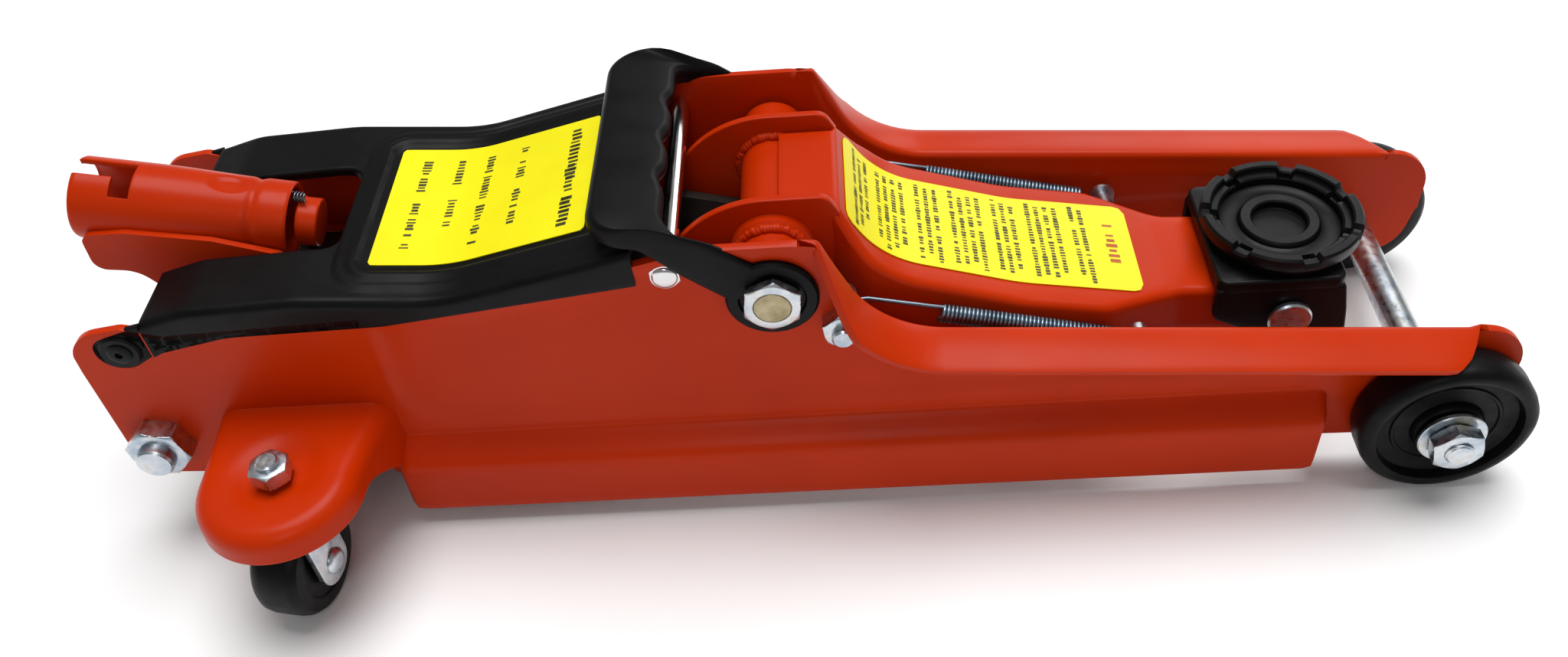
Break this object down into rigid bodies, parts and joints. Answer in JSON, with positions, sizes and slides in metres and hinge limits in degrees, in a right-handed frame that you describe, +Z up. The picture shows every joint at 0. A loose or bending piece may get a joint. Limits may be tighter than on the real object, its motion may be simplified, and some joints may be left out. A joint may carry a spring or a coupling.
{
  "type": "trolley jack",
  "caption": "Low-profile hydraulic floor jack: pressed steel frame on wheels, lift arm with a level round saddle, pump, handle socket and carry handle.",
  "frame": {"origin": "on the floor, under the middle of the jack's overall box", "axes": "+X forward to the saddle and front wheels, +Y to the jack's left, +Z up"},
  "size_m": [0.5232, 0.227, 0.1377],
  "materials": {
    "black_nylon": "satin",
    "black_paint": "satin",
    "black_plastic": "satin",
    "bright_chrome": "polished",
    "dark_steel": "oiled",
    "red_paint": "gloss",
    "spring_steel": "plated",
    "yellow_label": "gloss",
    "zinc": "plated"
  },
  "bodies": {
    "frame": {"side_plate_left": "red_paint", "side_plate_right": "red_paint", "front_axle": "zinc", "front_axle_nuts": "zinc", "front_axle_washers": "zinc", "caster_bolts": "zinc", "caster_nuts": "zinc", "caster_races": "zinc", "pivot_shaft": "zinc", "pivot_nuts": "zinc", "tie_rod": "bright_chrome", "tie_rod_nuts": "bright_chrome", "unit_bolts": "zinc", "spring_bolts": "zinc", "lip_rivets": "red_paint", "cover": "black_plastic", "cover_label": "yellow_label", "cover_screws": "black_plastic", "pump_block": "dark_steel", "pump_gland": "zinc", "pump_spring": "spring_steel", "reservoir": "red_paint", "ram_cylinder": "dark_steel", "cylinder_head": "dark_steel", "level_pin_rear": "zinc", "filler_plug": "black_nylon"},
    "lift_arm": {"arm_cheek_left": "red_paint", "arm_cheek_right": "red_paint", "arm_top_plate": "red_paint", "arm_pivot_sleeve": "red_paint", "arm_label": "yellow_label", "crank_pin": "dark_steel", "spring_studs": "zinc", "saddle_base_pin": "zinc"},
    "saddle_mount": {"saddle_base": "black_paint", "level_pin_front": "zinc"},
    "saddle_pad": {"saddle": "black_paint"},
    "levelling_link": {"levelling_rods": "zinc"},
    "ram_rod": {"ram": "bright_chrome"},
    "spring_left": {"return_spring_left": "spring_steel"},
    "spring_right": {"return_spring_right": "spring_steel"},
    "hook_left": {"spring_hook_left": "spring_steel"},
    "hook_right": {"spring_hook_right": "spring_steel"},
    "socket": {"handle_socket": "red_paint", "socket_yoke": "red_paint", "socket_pin": "zinc", "pump_roller": "zinc", "release_spring": "spring_steel"},
    "knuckle": {"release_knuckle": "red_paint"},
    "spindle": {"release_spindle": "zinc"},
    "plunger": {"pump_plunger": "bright_chrome"},
    "handle": {"carry_handle": "black_plastic"},
    "wheel_front_left": {"front_wheel_left": "black_nylon"},
    "wheel_front_right": {"front_wheel_right": "black_nylon"},
    "caster_left": {"caster_fork_left": "zinc", "caster_axle_left": "zinc"},
    "caster_right": {"caster_fork_right": "zinc", "caster_axle_right": "zinc"},
    "wheel_rear_left": {"caster_wheel_left": "black_nylon"},
    "wheel_rear_right": {"caster_wheel_right": "black_nylon"}
  },
  "joints": [
    {"name": "arm_lift", "type": "hinge", "parent": "frame", "child": "lift_arm", "pos_m": [-0.0075, 0, 0.1022], "axis": [0, -1, 0], "range_deg": [0, 65]},
    {"name": "saddle_level", "type": "hinge", "parent": "lift_arm", "child": "saddle_mount", "pos_m": [0.1792, 0, 0.056], "axis": [0, -1, 0], "range_deg": [-65, 0]},
    {"name": "saddle_turn", "type": "hinge", "parent": "saddle_mount", "child": "saddle_pad", "pos_m": [0.1792, 0, 0.076], "axis": [0, 0, 1], "continuous": true},
    {"name": "link_swing", "type": "hinge", "parent": "frame", "child": "levelling_link", "pos_m": [0.008, 0, 0.0862], "axis": [0, -1, 0], "range_deg": [0, 65]},
    {"name": "ram_slide", "type": "slide", "parent": "frame", "child": "ram_rod", "axis": [1, 0, 0], "range_m": [0, 0.04729]},
    {"name": "spring_swing_left", "type": "hinge", "parent": "frame", "child": "spring_left", "pos_m": [0.0157, 0.0398, 0.088], "axis": [0, -1, 0], "range_deg": [0, 73.18]},
    {"name": "spring_stretch_left", "type": "slide", "parent": "spring_left", "child": "hook_left", "axis": [0.9674, 0, -0.2532], "range_m": [0, 0.02353]},
    {"name": "spring_swing_right", "type": "hinge", "parent": "frame", "child": "spring_right", "pos_m": [0.0157, -0.0398, 0.088], "axis": [0, -1, 0], "range_deg": [0, 73.18]},
    {"name": "spring_stretch_right", "type": "slide", "parent": "spring_right", "child": "hook_right", "axis": [0.9674, 0, -0.2532], "range_m": [0, 0.02353]},
    {"name": "pump_stroke", "type": "hinge", "parent": "frame", "child": "socket", "pos_m": [-0.1933, 0, 0.086], "axis": [0, 1, 0], "range_deg": [0, 30]},
    {"name": "release_turn", "type": "hinge", "parent": "socket", "child": "knuckle", "pos_m": [-0.1848, 0, 0.1064], "axis": [-0.9748, 0, 0.2233], "range_deg": [0, 180]},
    {"name": "spindle_turn", "type": "hinge", "parent": "frame", "child": "spindle", "pos_m": [-0.1733, 0, 0.066], "axis": [0, 0, 1], "range_deg": [0, 180]},
    {"name": "plunger_slide", "type": "slide", "parent": "frame", "child": "plunger", "axis": [0, 0, 1], "range_m": [0, 0.0143], "deforming": ["pump_spring"]},
    {"name": "handle_fold", "type": "hinge", "parent": "frame", "child": "handle", "pos_m": [-0.0075, 0, 0.1022], "axis": [0, 1, 0], "range_deg": [0, 60]},
    {"name": "front_roll_left", "type": "hinge", "parent": "frame", "child": "wheel_front_left", "pos_m": [0.2307, 0.0593, 0.031], "axis": [0, 1, 0], "continuous": true},
    {"name": "caster_swivel_left", "type": "hinge", "parent": "frame", "child": "caster_left", "pos_m": [-0.1863, 0.084, 0.05], "axis": [0, 0, 1], "continuous": true},
    {"name": "caster_roll_left", "type": "hinge", "parent": "caster_left", "child": "wheel_rear_left", "pos_m": [-0.18754, 0.09038, 0.021], "axis": [-0.9816, -0.1908, 0], "continuous": true},
    {"name": "front_roll_right", "type": "hinge", "parent": "frame", "child": "wheel_front_right", "pos_m": [0.2307, -0.0593, 0.031], "axis": [0, 1, 0], "continuous": true},
    {"name": "caster_swivel_right", "type": "hinge", "parent": "frame", "child": "caster_right", "pos_m": [-0.1863, -0.084, 0.05], "axis": [0, 0, 1], "continuous": true},
    {"name": "caster_roll_right", "type": "hinge", "parent": "caster_right", "child": "wheel_rear_right", "pos_m": [-0.18754, -0.09038, 0.021], "axis": [0.9816, -0.1908, 0], "continuous": true}
  ],
  "couplings": [
    {"joint": "saddle_level", "follows": "arm_lift", "ratio": -1},
    {"joint": "link_swing", "follows": "arm_lift", "ratio": 1},
    {"joint": "ram_slide", "follows": "arm_lift", "m_per_rad": 0.041678},
    {"joint": "spring_swing_left", "follows": "arm_lift", "ratio": 1.1257},
    {"joint": "spring_swing_right", "follows": "arm_lift", "ratio": 1.1257},
    {"joint": "spring_stretch_left", "follows": "arm_lift", "m_per_rad": 0.020735},
    {"joint": "spring_stretch_right", "follows": "arm_lift", "m_per_rad": 0.020735},
    {"joint": "plunger_slide", "follows": "pump_stroke", "m_per_rad": 0.0271},
    {"joint": "spindle_turn", "follows": "release_turn", "ratio": 1}
  ]
}
